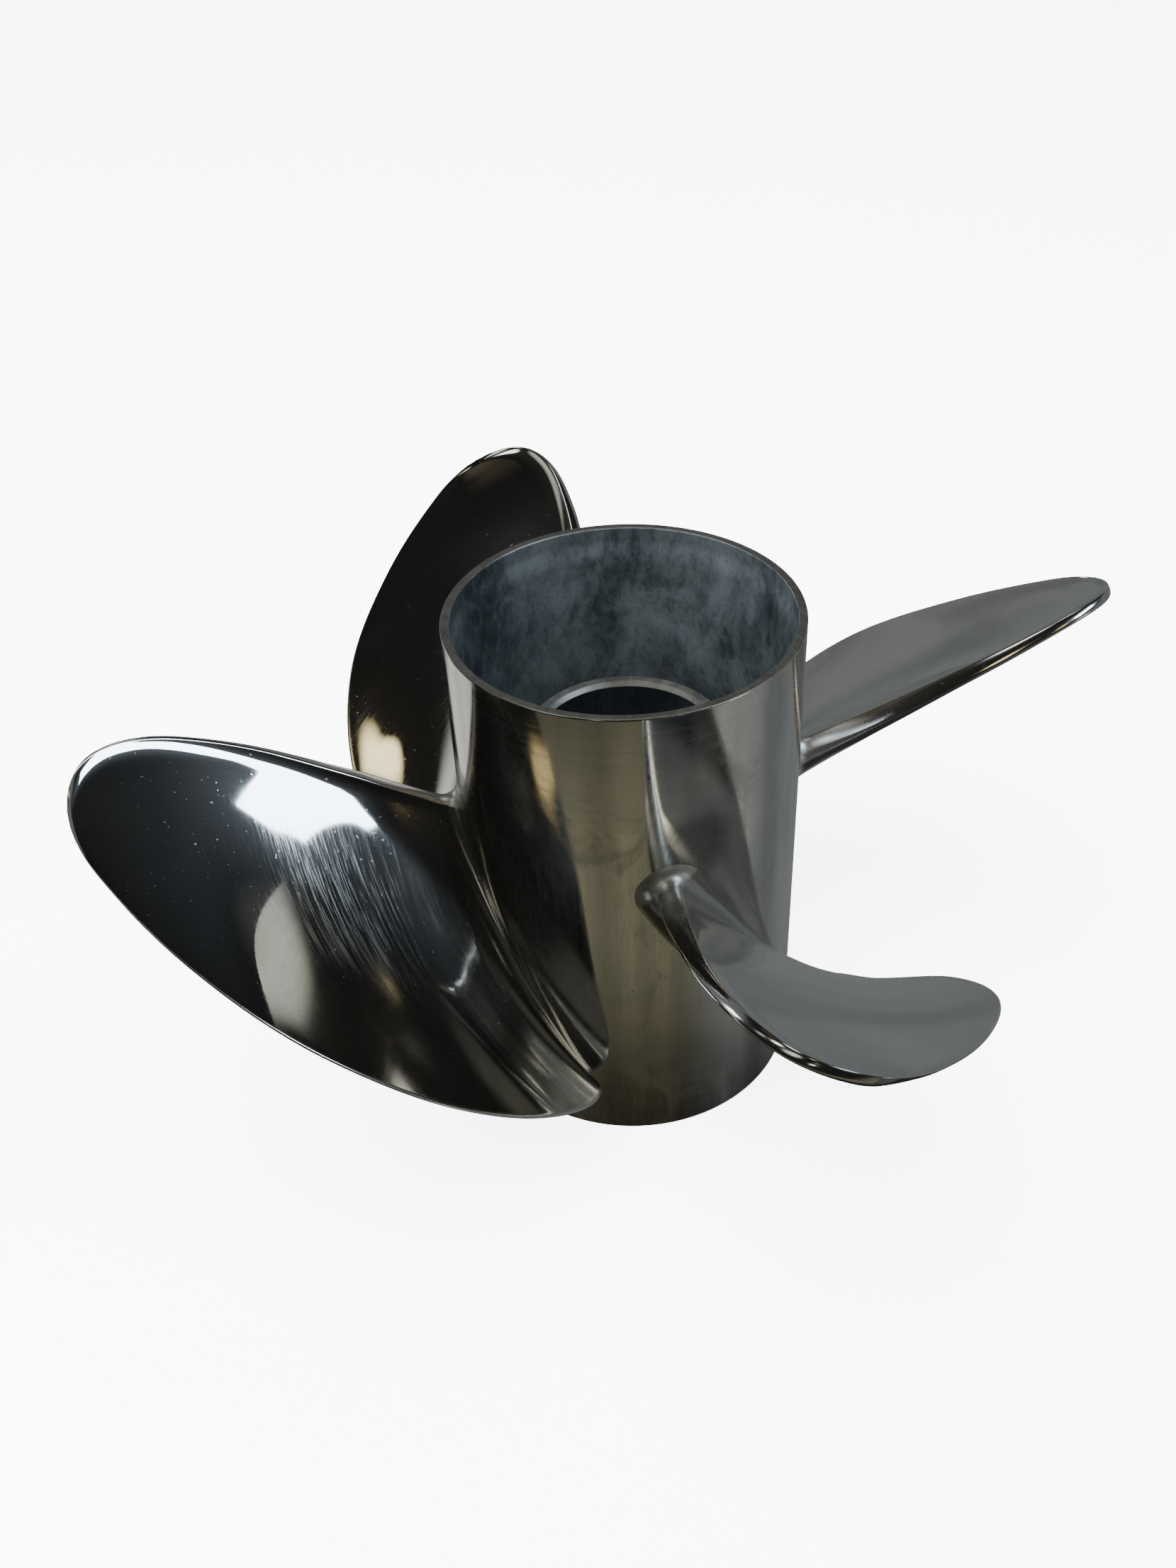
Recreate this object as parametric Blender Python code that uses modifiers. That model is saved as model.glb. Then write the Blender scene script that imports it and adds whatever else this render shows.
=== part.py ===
"""A four-blade, left-hand outboard propeller with through-hub exhaust, standing on its forward end.

Metres, +Z up along the shaft towards the aft end. The origin is the centre of the barrel's forward end.
Run it with blender --background --python part.py, or from Blender's text editor.
"""
from math import atan2, cos, hypot, pi, radians, sin, sqrt

import bmesh
import bpy

# Driving dimensions, read from the size stamp and from the camera fit of the photograph
DIAMETER = 0.3905
BARREL_RADIUS = 0.0635
BARREL_HEIGHT = 0.1970
RIM_WALL = 0.0032
CAST_WALL = 0.0042
INNER_HUB_RADIUS = 0.0373
INNER_HUB_BORE = 0.0322
INNER_HUB_DEPTH = 0.0515
BLADES = 4

# Smaller features of the barrel and the inner hub
RIM_CHAMFER = 0.0006
RIM_LAND_HEIGHT = 0.0060
BARREL_STEPS = 96
INNER_HUB_STEPS = 72
INNER_HUB_FOOT = 0.0060
INNER_HUB_CHAMFER = 0.0016
INNER_HUB_DRAFT = 0.0010
WEB_THICKNESS = 0.0065
WEB_BOTTOM = 0.0140
WEB_TOP = 0.1120
WEB_EDGE_RADIUS = 0.0022
WEB_PHASE = radians(45)
GAP = 0.0003

# Blade: each station has a radius, the angle and height of the middle of the chord there,
# half the angle that the chord covers, and the pitch of the face. It is the offset table of the drawing.
BLADE_STATIONS = (
    (BARREL_RADIUS, -46.6, 0.0785, 29.6, 0.615),
    (0.0700, -43.8, 0.0815, 33.4, 0.540),
    (0.0810, -44.6, 0.0855, 34.0, 0.545),
    (0.1000, -48.9, 0.0960, 31.5, 0.573),
    (0.1305, -54.3, 0.1180, 27.1, 0.556),
    (0.1555, -60.0, 0.1380, 20.7, 0.546),
    (0.1740, -65.5, 0.1528, 13.6, 0.571),
    (0.1870, -68.9, 0.1622, 7.7, 0.589),
    (0.1934, -69.8, 0.1656, 3.6, 0.598),
    (DIAMETER / 2, -69.9, 0.1662, 0.0, 0.602),
)
TIP_LAND = 0.00012
RADIAL_SECTIONS = 15
CHORD_SECTIONS = 18
LEADING_THICKNESS = 0.0015
TRAILING_THICKNESS = (0.0105, 0.0020)
TRAILING_CORNER = 0.0012
THICKNESS_FALL = 1.7
BULGE = (0.0050, 0.0006)
FULL_BULGE_CHORD = 0.0800
CUP_DEPTH = 0.0018
CUP_LENGTH = 0.0095
LEADING_FILLET = 0.0040
MIDDLE_FILLET = 0.0110
TRAILING_FILLET = 0.0150
FILLET_FULLNESS = 0.80
FILLET_SECTIONS = 6
CAP_STRIPS = 6

STEEL = {
    "barrel": ((0.46, 0.45, 0.43), 0.22),
    "inner_hub": ((0.56, 0.57, 0.58), 0.38),
    "web": ((0.42, 0.43, 0.45), 0.45),
    "blade": ((0.50, 0.49, 0.47), 0.18),
}


def clear_scene():
    for item in list(bpy.data.objects):
        bpy.data.objects.remove(item, do_unlink=True)


def steel(name, kind):
    colour, roughness = STEEL[kind]
    material = bpy.data.materials.new(name)
    material.use_nodes = True
    shader = material.node_tree.nodes["Principled BSDF"]
    shader.inputs["Base Color"].default_value = (*colour, 1.0)
    shader.inputs["Metallic"].default_value = 1.0
    shader.inputs["Roughness"].default_value = roughness
    return material


def add_part(name, mesh, kind, collection):
    part = bpy.data.objects.new(name, mesh)
    mesh.materials.append(steel(name, kind))
    collection.objects.link(part)
    return part


def turned(name, profile, steps, kind, collection):
    """A solid of revolution. The closed profile at +X runs down its outer side and back up inside."""
    mesh = bpy.data.meshes.new(name)
    edges = [(i, (i + 1) % len(profile)) for i in range(len(profile))]
    mesh.from_pydata([(radius, 0.0, height) for radius, height in profile], edges, [])
    part = add_part(name, mesh, kind, collection)
    screw = part.modifiers.new("Turn", "SCREW")
    screw.axis = "Z"
    screw.angle = 2 * pi
    screw.steps = steps
    screw.render_steps = steps
    screw.use_merge_vertices = True
    screw.merge_threshold = 0.00001
    screw.use_smooth_shade = True
    return part


def barrel_profile():
    top = BARREL_HEIGHT
    land = BARREL_RADIUS - RIM_WALL
    bore = BARREL_RADIUS - CAST_WALL
    chamfer = RIM_CHAMFER
    return [
        (BARREL_RADIUS - chamfer, top),
        (BARREL_RADIUS, top - chamfer),
        (BARREL_RADIUS, chamfer),
        (BARREL_RADIUS - chamfer, 0.0),
        (land + chamfer, 0.0),
        (land, chamfer),
        (land, RIM_LAND_HEIGHT),
        (bore, 2 * RIM_LAND_HEIGHT),
        (bore, top - 2 * RIM_LAND_HEIGHT),
        (land, top - RIM_LAND_HEIGHT),
        (land, top - chamfer),
        (land + chamfer, top),
    ]


def inner_hub_profile():
    top = BARREL_HEIGHT - INNER_HUB_DEPTH
    foot = INNER_HUB_FOOT
    chamfer = INNER_HUB_CHAMFER
    bore = INNER_HUB_BORE
    return [
        (INNER_HUB_RADIUS - RIM_CHAMFER, top),
        (INNER_HUB_RADIUS, top - RIM_CHAMFER),
        (INNER_HUB_RADIUS, foot + RIM_CHAMFER),
        (INNER_HUB_RADIUS - RIM_CHAMFER, foot),
        (bore + chamfer - INNER_HUB_DRAFT, foot),
        (bore - INNER_HUB_DRAFT, foot + chamfer),
        (bore, top - chamfer),
        (bore + chamfer, top),
    ]


def add_web(number, collection):
    """A rib between the inner hub and the barrel, a primitive box with rounded edges."""
    inside = INNER_HUB_RADIUS + GAP
    outside = BARREL_RADIUS - CAST_WALL - GAP
    turn = WEB_PHASE + (number - 1) * 2 * pi / BLADES
    middle = (inside + outside) / 2
    name = f"web_{number}"
    bpy.ops.mesh.primitive_cube_add(size=1.0)
    web = bpy.context.object
    web.name = name
    web.data.name = name
    web.data.transform(((outside - inside, 0, 0, 0), (0, WEB_THICKNESS, 0, 0),
                        (0, 0, WEB_TOP - WEB_BOTTOM, 0), (0, 0, 0, 1)))
    web.location = (middle * cos(turn), middle * sin(turn), (WEB_TOP + WEB_BOTTOM) / 2)
    web.rotation_euler = (0.0, 0.0, turn)
    web.data.materials.append(steel(name, "web"))
    bevel = web.modifiers.new("Rounded ends", "BEVEL")
    bevel.width = WEB_EDGE_RADIUS
    bevel.segments = 3
    bevel.limit_method = "WEIGHT"
    weights = web.data.attributes.new("bevel_weight_edge", "FLOAT", "EDGE")
    for edge in web.data.edges:
        first, second = (web.data.vertices[index].co for index in edge.vertices)
        along_radius = abs(first.x - second.x) > 0.5 * (outside - inside)
        weights.data[edge.index].value = 1.0 if along_radius else 0.0
    for owner in list(web.users_collection):
        owner.objects.unlink(web)
    collection.objects.link(web)
    return web


def span_of(radius):
    """0 at the tip and 1 at the barrel; the square root gives the outline its round tip."""
    tip = BLADE_STATIONS[-1][0]
    root = BLADE_STATIONS[0][0]
    return sqrt(max(tip - radius, 0.0) / (tip - root))


def station_value(radius, column):
    """One column of the offset table at any radius, along a smooth curve through its stations."""
    knots = [span_of(row[0]) for row in reversed(BLADE_STATIONS)]
    values = [row[column] for row in reversed(BLADE_STATIONS)]
    slopes = []
    for i in range(len(knots)):
        before, after = max(i - 1, 0), min(i + 1, len(knots) - 1)
        slopes.append((values[after] - values[before]) / (knots[after] - knots[before]))
    here = span_of(radius)
    i = max(k for k in range(len(knots) - 1) if knots[k] <= here or k == 0)
    width = knots[i + 1] - knots[i]
    t = (here - knots[i]) / width
    return ((2 * t**3 - 3 * t**2 + 1) * values[i] + (t**3 - 2 * t**2 + t) * width * slopes[i]
            + (3 * t**2 - 2 * t**3) * values[i + 1] + (t**3 - t**2) * width * slopes[i + 1])


def between(pair, radius):
    """A thickness that falls from its root value to its tip value, fastest near the root."""
    share = (DIAMETER / 2 - radius) / (DIAMETER / 2 - BARREL_RADIUS)
    return pair[1] + (pair[0] - pair[1]) * share**THICKNESS_FALL


def face_sag(share, chord):
    """How far the pressure face lies below the straight chord, so that its trailing end curls up."""
    cup = min(CUP_LENGTH, 0.4 * chord)
    depth = CUP_DEPTH * cup / CUP_LENGTH
    start = 1 - cup / chord
    if share <= start:
        return depth * share / start
    return depth * (1 - ((share - start) / (1 - start))**2)


def chord_shares(chord):
    """Places along the chord, 0 at the leading edge: close together at both ends, for the round edges."""
    corner = min(TRAILING_CORNER, 0.25 * chord) / chord
    middle = [(1 - corner) * (0.5 - 0.5 * cos(pi * i / CHORD_SECTIONS)) for i in range(CHORD_SECTIONS + 1)]
    return middle + [1 - 0.30 * corner, 1 - 0.04 * corner, 1.0]


def half_thickness(share, chord, full):
    """Half of the blade's thickness, rounded off at the thin leading edge and the blunt trailing one."""
    nose = min(share * chord / min(LEADING_THICKNESS, 0.4 * chord), 1.0)
    tail = min((1 - share) * chord / min(TRAILING_CORNER, 0.25 * chord), 1.0)
    return 0.5 * full * sqrt(1 - (1 - nose)**2) * (1 - (1 - tail)**4)**0.25


def section_outline(radius):
    """The closed section at one radius, rolled out flat as (distance around, height).

    It runs from the leading edge over the pressure face to the trailing edge and back along the other face.
    """
    middle_angle = radians(station_value(radius, 1))
    middle_height = station_value(radius, 2)
    half_angle = radians(station_value(radius, 3))
    advance = station_value(radius, 4) / (2 * pi)
    chord = 2 * half_angle * hypot(radius, advance)
    slope = atan2(advance, radius)
    trailing = min(between(TRAILING_THICKNESS, radius), 0.5 * chord)
    leading = min(LEADING_THICKNESS, 0.4 * chord)
    bulge = between(BULGE, radius) * min(1.0, chord / FULL_BULGE_CHORD)
    face, back = [], []
    for share in chord_shares(chord):
        run = (share - 0.5) * chord
        full = leading + (trailing - leading) * share + bulge * 4 * share * (1 - share)
        middle = face_sag(share, chord) + 0.5 * full
        half = half_thickness(share, chord, full)
        for side, depth in ((face, middle - half), (back, middle + half)):
            side.append((radius * middle_angle - run * cos(slope) - depth * sin(slope),
                         middle_height + run * sin(slope) - depth * cos(slope)))
    return face + back[-2:0:-1]


def fillet_offset(radius, share):
    """How far the root fillet stands off the blade's own surface: least at the thin leading edge."""
    if share < 0.5:
        reach = LEADING_FILLET + (MIDDLE_FILLET - LEADING_FILLET) * sin(share * pi)
    else:
        reach = MIDDLE_FILLET + (TRAILING_FILLET - MIDDLE_FILLET) * (2 * share - 1)
    height = min(radius - BARREL_RADIUS, reach)
    return FILLET_FULLNESS * (reach - sqrt(reach**2 - (reach - height)**2))


def grown(loop, radius):
    """The closed section pushed outward in its own plane by the fillet at this radius."""
    count = len(loop)
    half = count // 2
    result = []
    for i in range(count):
        before, here, after = loop[i - 1], loop[i], loop[(i + 1) % count]
        step = (after[0] - before[0], after[1] - before[1])
        size = hypot(*step)
        distance = fillet_offset(radius, 1 - abs(half - i) / half)
        result.append((here[0] + distance * step[1] / size, here[1] - distance * step[0] / size))
    return result


def section_radii():
    root = BARREL_RADIUS + GAP
    flare_end = BARREL_RADIUS + TRAILING_FILLET
    tip = DIAMETER / 2 - TIP_LAND
    radii = [root + (flare_end - root) * (i / FILLET_SECTIONS)**1.6 for i in range(FILLET_SECTIONS)]
    for i in range(RADIAL_SECTIONS):
        share = i / (RADIAL_SECTIONS - 1)
        radii.append(flare_end + (tip - flare_end) * sin(share * pi / 2))
    return radii


def wrapped(around, height, radius):
    """A point of the rolled-out section, back on its cylinder."""
    return (radius * cos(around / radius), radius * sin(around / radius), height)


def cap(loop, first, radius, vertices, faces, flip):
    """Close an end section with strips from face to back, bent on the cylinder so that they keep its radius."""
    half = len(loop) // 2
    rows = [[first]]
    for i in range(1, half):
        other = len(loop) - i
        row = [first + i]
        for strip in range(1, CAP_STRIPS):
            share = strip / CAP_STRIPS
            around = loop[i][0] + (loop[other][0] - loop[i][0]) * share
            height = loop[i][1] + (loop[other][1] - loop[i][1]) * share
            row.append(len(vertices))
            vertices.append(wrapped(around, height, radius))
        rows.append(row + [first + other])
    rows.append([first + half])
    for low, high in zip(rows, rows[1:]):
        for strip in range(CAP_STRIPS):
            a, b = low[min(strip, len(low) - 1)], low[min(strip + 1, len(low) - 1)]
            d, c = high[min(strip, len(high) - 1)], high[min(strip + 1, len(high) - 1)]
            corners = list(dict.fromkeys((a, b, c, d) if flip else (d, c, b, a)))
            faces.append(tuple(corners))


def blade_mesh(name):
    """Loft the rolled-out sections: each is wrapped back onto its cylinder and joined to the next."""
    vertices, faces, loops = [], [], []
    rings = section_radii()
    for radius in rings:
        loop = grown(section_outline(radius), radius)
        loops.append(loop)
        vertices.extend(wrapped(around, height, radius) for around, height in loop)
    count = len(loops[0])
    for ring in range(len(rings) - 1):
        low, high = ring * count, (ring + 1) * count
        for i in range(count):
            j = (i + 1) % count
            faces.append((low + i, low + j, high + j, high + i))
    cap(loops[0], 0, rings[0], vertices, faces, True)
    cap(loops[-1], (len(rings) - 1) * count, rings[-1], vertices, faces, False)
    mesh = bpy.data.meshes.new(name)
    mesh.from_pydata(vertices, [], faces)
    cleaner = bmesh.new()
    cleaner.from_mesh(mesh)
    bmesh.ops.recalc_face_normals(cleaner, faces=cleaner.faces)
    cleaner.to_mesh(mesh)
    cleaner.free()
    mesh.shade_smooth()
    mesh.set_sharp_from_angle(angle=radians(35))
    return mesh


def main():
    clear_scene()
    propeller = bpy.data.collections.new("propeller")
    bpy.context.scene.collection.children.link(propeller)
    turned("barrel", barrel_profile(), BARREL_STEPS, "barrel", propeller)
    turned("inner_hub", inner_hub_profile(), INNER_HUB_STEPS, "inner_hub", propeller)
    for number in range(1, BLADES + 1):
        add_web(number, propeller)
        name = f"blade_{number}"
        blade = add_part(name, blade_mesh(name), "blade", propeller)
        blade.rotation_euler = (0.0, 0.0, (number - 1) * 2 * pi / BLADES)


main()
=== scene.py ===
# %% [markdown]
# # A polished four-blade outboard propeller
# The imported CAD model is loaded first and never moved. Every cell after that makes one piece of the
# propeller again at a finer grain, or one finish, and says which CAD node the new piece stands for.

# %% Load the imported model
from math import atan, atan2, cos, hypot, pi, radians, sin, sqrt, tan

import bmesh
import bpy
from mathutils import Matrix, Vector


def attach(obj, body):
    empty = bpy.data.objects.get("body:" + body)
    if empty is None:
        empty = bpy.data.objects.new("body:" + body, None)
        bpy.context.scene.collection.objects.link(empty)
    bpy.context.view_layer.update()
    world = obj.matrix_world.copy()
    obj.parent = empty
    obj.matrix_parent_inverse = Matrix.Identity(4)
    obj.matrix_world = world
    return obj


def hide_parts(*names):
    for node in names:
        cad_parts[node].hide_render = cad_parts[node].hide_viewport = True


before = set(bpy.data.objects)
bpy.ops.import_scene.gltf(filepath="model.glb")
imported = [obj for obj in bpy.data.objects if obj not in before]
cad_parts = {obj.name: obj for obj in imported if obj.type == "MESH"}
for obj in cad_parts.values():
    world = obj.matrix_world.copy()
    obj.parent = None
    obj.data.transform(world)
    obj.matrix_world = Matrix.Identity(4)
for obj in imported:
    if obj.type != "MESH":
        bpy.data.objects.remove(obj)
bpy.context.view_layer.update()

print("nodes:", sorted(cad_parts))

# %% [markdown]
# ## Sizes
# A propeller is named by its diameter and pitch. All lengths are metres and repeat the sizes of the CAD
# source, because this script can't read that file.

# %% Sizes of the casting
DIAMETER = 0.3905
BARREL_RADIUS = 0.0635
BARREL_HEIGHT = 0.1970
RIM_WALL = 0.0032
CAST_WALL = 0.0042
RIM_LAND_HEIGHT = 0.0060
INNER_HUB_RADIUS = 0.0373
INNER_HUB_BORE = 0.0322
INNER_HUB_TOP = 0.1455
INNER_HUB_FOOT = 0.0060
INNER_HUB_DRAFT = 0.0010
WEB_THICKNESS = 0.0065
WEB_BOTTOM = 0.0140
WEB_TOP = 0.1120
WEB_PHASE = radians(45)
BLADES = 4
print(f"propeller {DIAMETER * 1000:.1f} mm across, barrel {BARREL_HEIGHT * 1000:.0f} mm long")

# %% [markdown]
# ## Camera
# The camera stands about where the photographer stood: in front of the barrel and looking down on its open
# end. Its place, turn and lens come from a fit to the rim ellipses and all four blade outlines.

# %% Camera
CAMERA_PLACE = (0.0, -0.4464, 0.4736)
CAMERA_TURN = (51.765, 2.108, 0.247)
CAMERA_LENS = 34.68


def put(thing):
    """Show an object in the scene."""
    bpy.context.scene.collection.objects.link(thing)


def add_camera():
    lens = bpy.data.cameras.new("photographer")
    lens.lens = CAMERA_LENS
    lens.sensor_width = 36.0
    lens.clip_start = 0.01
    camera = bpy.data.objects.new("photographer", lens)
    camera.location = CAMERA_PLACE
    camera.rotation_euler = [radians(turn) for turn in CAMERA_TURN]
    put(camera)
    bpy.context.scene.camera = camera


add_camera()
print("camera at", CAMERA_PLACE)

# %% [markdown]
# ## Helpers for node trees
# Small helpers keep the trees short to read: one adds a node with its numbers and links, one starts a tree
# with named inputs, and one runs a tree on a mesh and keeps the result.

# %% Helpers for node trees


def add_node(tree, kind, inputs=None, **settings):
    """A node of one kind, with its settings; an input is a number, a socket, or a node's first output."""
    node = tree.nodes.new(kind)
    for name, value in settings.items():
        setattr(node, name, value)
    for name, value in (inputs or {}).items():
        if isinstance(value, bpy.types.Node):
            value = value.outputs[0]
        if isinstance(value, bpy.types.NodeSocket):
            tree.links.new(value, node.inputs[name])
        else:
            node.inputs[name].default_value = value
    return node


def new_shape_tree(name, sizes):
    """An empty Geometry Nodes tree with named inputs for its sizes, and its input and output nodes."""
    tree = bpy.data.node_groups.new(name, "GeometryNodeTree")
    tree.interface.new_socket("Geometry", in_out="INPUT", socket_type="NodeSocketGeometry")
    for label, kind, value in sizes:
        socket = tree.interface.new_socket(label, in_out="INPUT", socket_type="NodeSocket" + kind)
        if value is not None:
            socket.default_value = value
    tree.interface.new_socket("Geometry", in_out="OUTPUT", socket_type="NodeSocketGeometry")
    return tree, tree.nodes.new("NodeGroupInput"), tree.nodes.new("NodeGroupOutput")


def made_by_tree(name, seed_mesh, tree, values):
    """Run a tree on a mesh and keep the result as a plain mesh object at the origin."""
    source = bpy.data.objects.new(name + "_source", seed_mesh)
    put(source)
    modifier = source.modifiers.new("Shape", "NODES")
    modifier.node_group = tree
    for item in tree.interface.items_tree:
        if item.in_out == "INPUT" and item.name in values:
            modifier[item.identifier] = values[item.name]
    graph = bpy.context.evaluated_depsgraph_get()
    mesh = bpy.data.meshes.new_from_object(source.evaluated_get(graph), depsgraph=graph)
    mesh.name = name
    bpy.data.objects.remove(source, do_unlink=True)
    piece = bpy.data.objects.new(name, mesh)
    put(piece)
    triangles = sum(len(face.vertices) - 2 for face in mesh.polygons)
    print(f"{name}: {len(mesh.vertices)} points, {triangles} triangles")
    return piece


def turn_outward(mesh):
    """Point every face outward and shade the surface smooth."""
    cleaner = bmesh.new()
    cleaner.from_mesh(mesh)
    bmesh.ops.recalc_face_normals(cleaner, faces=cleaner.faces)
    cleaner.to_mesh(mesh)
    cleaner.free()
    mesh.shade_smooth()


# %% [markdown]
# ## Finishes
# Every surface is the same stainless steel, and only its finish differs. A finish here is a metal shader
# whose colour, roughness and bump come from noise at the scale of the real marks: brushing is noise that is
# fine one way and long the other, a smudge is broad soft noise, and a pit is a small round cell. The helpers
# below keep each finish to a few lines.

# %% Helpers for finishes
STEEL = (0.60, 0.595, 0.575)


def new_finish(name, metallic=1.0):
    """A material with its tree, its shader, and the place on the object."""
    material = bpy.data.materials.new(name)
    material.use_nodes = True
    tree = material.node_tree
    shader = tree.nodes["Principled BSDF"]
    shader.inputs["Metallic"].default_value = metallic
    place = tree.nodes.new("ShaderNodeTexCoord").outputs["Object"]
    return material, tree, shader, place


def calculate(tree, operation, *values, clamp=False):
    """One Math node."""
    inputs = dict(enumerate(values))
    return add_node(tree, "ShaderNodeMath", inputs, operation=operation, use_clamp=clamp).outputs[0]


def times(tree, first, second):
    return calculate(tree, "MULTIPLY", first, second)


def times_plus(tree, value, weight, below):
    """A value times its weight, on top of what is below."""
    return calculate(tree, "MULTIPLY_ADD", value, weight, below)


def stretched(tree, place, scale):
    """The place scaled by axis: a small scale makes marks long that way."""
    return add_node(tree, "ShaderNodeVectorMath", {0: place, 1: scale}, operation="MULTIPLY").outputs[0]


def away_from_shaft(tree, place):
    """Distance from the shaft's axis."""
    flat = stretched(tree, place, (1.0, 1.0, 0.0))
    return add_node(tree, "ShaderNodeVectorMath", {0: flat}, operation="LENGTH").outputs["Value"]


def grain(tree, place, size, detail=3.0, rough=0.55, twist=0.0):
    """Noise between 0 and 1 with features of the given size in metres."""
    return add_node(tree, "ShaderNodeTexNoise", {
        "Vector": place, "Scale": 0.5 / size, "Detail": detail, "Roughness": rough,
        "Distortion": twist}).outputs["Fac"]


def spread(tree, value, low, high, to_low=0.0, to_high=1.0):
    """A value taken smoothly from one range to another and held at both ends."""
    return add_node(tree, "ShaderNodeMapRange", {
        "Value": value, "From Min": low, "From Max": high, "To Min": to_low, "To Max": to_high},
        interpolation_type="SMOOTHSTEP").outputs["Result"]


def tint(tree, factor, first, second):
    """A colour between two colours."""
    node = add_node(tree, "ShaderNodeMix", data_type="RGBA")
    factor_in, first_in, second_in = node.inputs[0], node.inputs[6], node.inputs[7]
    tree.links.new(factor, factor_in)
    for socket, value in ((first_in, first), (second_in, second)):
        if isinstance(value, tuple):
            socket.default_value = (*value, 1.0)
        else:
            tree.links.new(value, socket)
    return node.outputs[2]


def raised(tree, height, depth, below=None):
    """Bump of a depth in metres, on top of an earlier one if there is one."""
    node = add_node(tree, "ShaderNodeBump", {"Height": height, "Distance": depth, "Strength": 1.0})
    if below:
        tree.links.new(below, node.inputs["Normal"])
    return node.outputs["Normal"]


def finished(tree, shader, colour, roughness, normal):
    """Link the three results of a finish to its shader."""
    for socket, value in (("Base Color", colour), ("Roughness", roughness), ("Normal", normal)):
        tree.links.new(value, shader.inputs[socket])


# %% [markdown]
# ### Outside of the barrel
# The barrel is polished. A soft spot of painted shade and dark reflection darkens it round each knuckle, a
# quarter turn apart, with a ragged edge made by adding noise to the distance; the steel is rougher there too.

# %% The polished outside of the barrel
KNUCKLE_TURN = radians(-70)
KNUCKLE_HEIGHT = 0.139
KNUCKLE_SHADE_REACH = (0.007, 0.019)
KNUCKLE_SHADE_RAGGED = 0.020


def polished_barrel_finish():
    """Mirror polish, brushed round near the rim and lengthwise below, smudged, with painted shade round the
    roots.
    """
    material, tree, shader, place = new_finish("polished_barrel_steel")
    parts = add_node(tree, "ShaderNodeSeparateXYZ", {"Vector": place})
    height = parts.outputs["Z"]
    around_marks = grain(tree, stretched(tree, place, (0.04, 0.04, 1.0)), 0.0006, 3.0, 0.6)
    length_marks = grain(tree, stretched(tree, place, (1.0, 1.0, 0.07)), 0.0008, 3.0, 0.6)
    near_rim = spread(tree, height, 0.120, 0.185, 0.15, 0.9)
    marks = add_node(tree, "ShaderNodeMix", {0: near_rim, 2: length_marks, 3: around_marks}).outputs[0]
    blotch = grain(tree, place, 0.020, 5.0, 0.6, 0.6)
    wiped = grain(tree, stretched(tree, place, (1.0, 1.0, 0.6)), 0.011, 6.0, 0.65, 1.2)
    smudge = spread(tree, wiped, 0.50, 0.72)
    pits = spread(tree, grain(tree, place, 0.0007, 1.0, 0.4), 0.79, 0.82)
    turn = calculate(tree, "ARCTAN2", parts.outputs["Y"], parts.outputs["X"])
    quarter = calculate(tree, "ADD", turn, -KNUCKLE_TURN + 4 * pi)
    within = calculate(tree, "WRAP", quarter, pi / 4, -pi / 4)
    side = times(tree, within, BARREL_RADIUS)
    above = calculate(tree, "SUBTRACT", height, KNUCKLE_HEIGHT)
    squares = [calculate(tree, "POWER", value, 2.0) for value in (side, above)]
    away = calculate(tree, "SQRT", calculate(tree, "ADD", *squares))
    ragged = times_plus(tree, calculate(tree, "SUBTRACT", blotch, 0.5), KNUCKLE_SHADE_RAGGED, away)
    # Painted shade and dark reflection: a soft dark spot round each knuckle, where blade and barrel meet.
    knuckle_shade = spread(tree, ragged, *KNUCKLE_SHADE_REACH, 1.0, 0.0)
    bright = tint(tree, spread(tree, blotch, 0.30, 0.70), (0.54, 0.54, 0.53), (0.64, 0.625, 0.59))
    marked = tint(tree, spread(tree, marks, 0.38, 0.72, 0.0, 0.15), bright, (0.34, 0.34, 0.33))
    dulled = tint(tree, times(tree, smudge, 0.32), marked, (0.30, 0.295, 0.27))
    knuckle_shaded = tint(tree, times(tree, knuckle_shade, 0.62), dulled, (0.10, 0.10, 0.09))
    pitted = tint(tree, times(tree, pits, 0.7), knuckle_shaded, (0.12, 0.12, 0.11))
    base_rough = spread(tree, marks, 0.30, 0.75, 0.08, 0.15)
    with_smudge = times_plus(tree, smudge, 0.13, base_rough)
    roughness = times_plus(tree, knuckle_shade, 0.16, with_smudge)
    hand_polish = raised(tree, grain(tree, place, 0.013, 1.5, 0.4), 0.00006)
    normal = raised(tree, marks, 0.0000018, hand_polish)
    finished(tree, shader, pitted, roughness, normal)
    return material


polished_barrel = polished_barrel_finish()
print("finish:", polished_barrel.name)

# %% [markdown]
# ### Turned rims
# The ends of both tubes are faced on a lathe, which leaves rings round the shaft. Noise that changes only
# with the distance from the shaft makes such rings.

# %% The turned rims


def turned_finish(name, dark, pale, dull, metallic):
    """A face cut on the lathe: fine rings round the shaft, a few deeper than the rest, and handling marks."""
    material, tree, shader, place = new_finish(name, metallic)
    radius = away_from_shaft(tree, place)
    ring_place = add_node(tree, "ShaderNodeCombineXYZ", {"X": radius}).outputs[0]
    rings = grain(tree, ring_place, 0.00016, 3.0, 0.7)
    wear = grain(tree, place, 0.004, 5.0, 0.65, 0.8)
    both = times_plus(tree, wear, 0.6, times(tree, rings, 0.4))
    colour = tint(tree, spread(tree, both, 0.35, 0.68), dark, pale)
    roughness = spread(tree, both, 0.30, 0.70, dull - 0.08, dull + 0.10)
    normal = raised(tree, rings, 0.000008, raised(tree, wear, 0.00003))
    finished(tree, shader, colour, roughness, normal)
    return material


turned_rim = turned_finish("turned_rim_steel", (0.185, 0.187, 0.175), (0.225, 0.226, 0.210), 0.30, 0.96)
hub_ring = turned_finish("turned_hub_steel", (0.120, 0.120, 0.114), (0.220, 0.220, 0.208), 0.40, 0.92)
print("finishes:", turned_rim.name, hub_ring.name)

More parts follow.
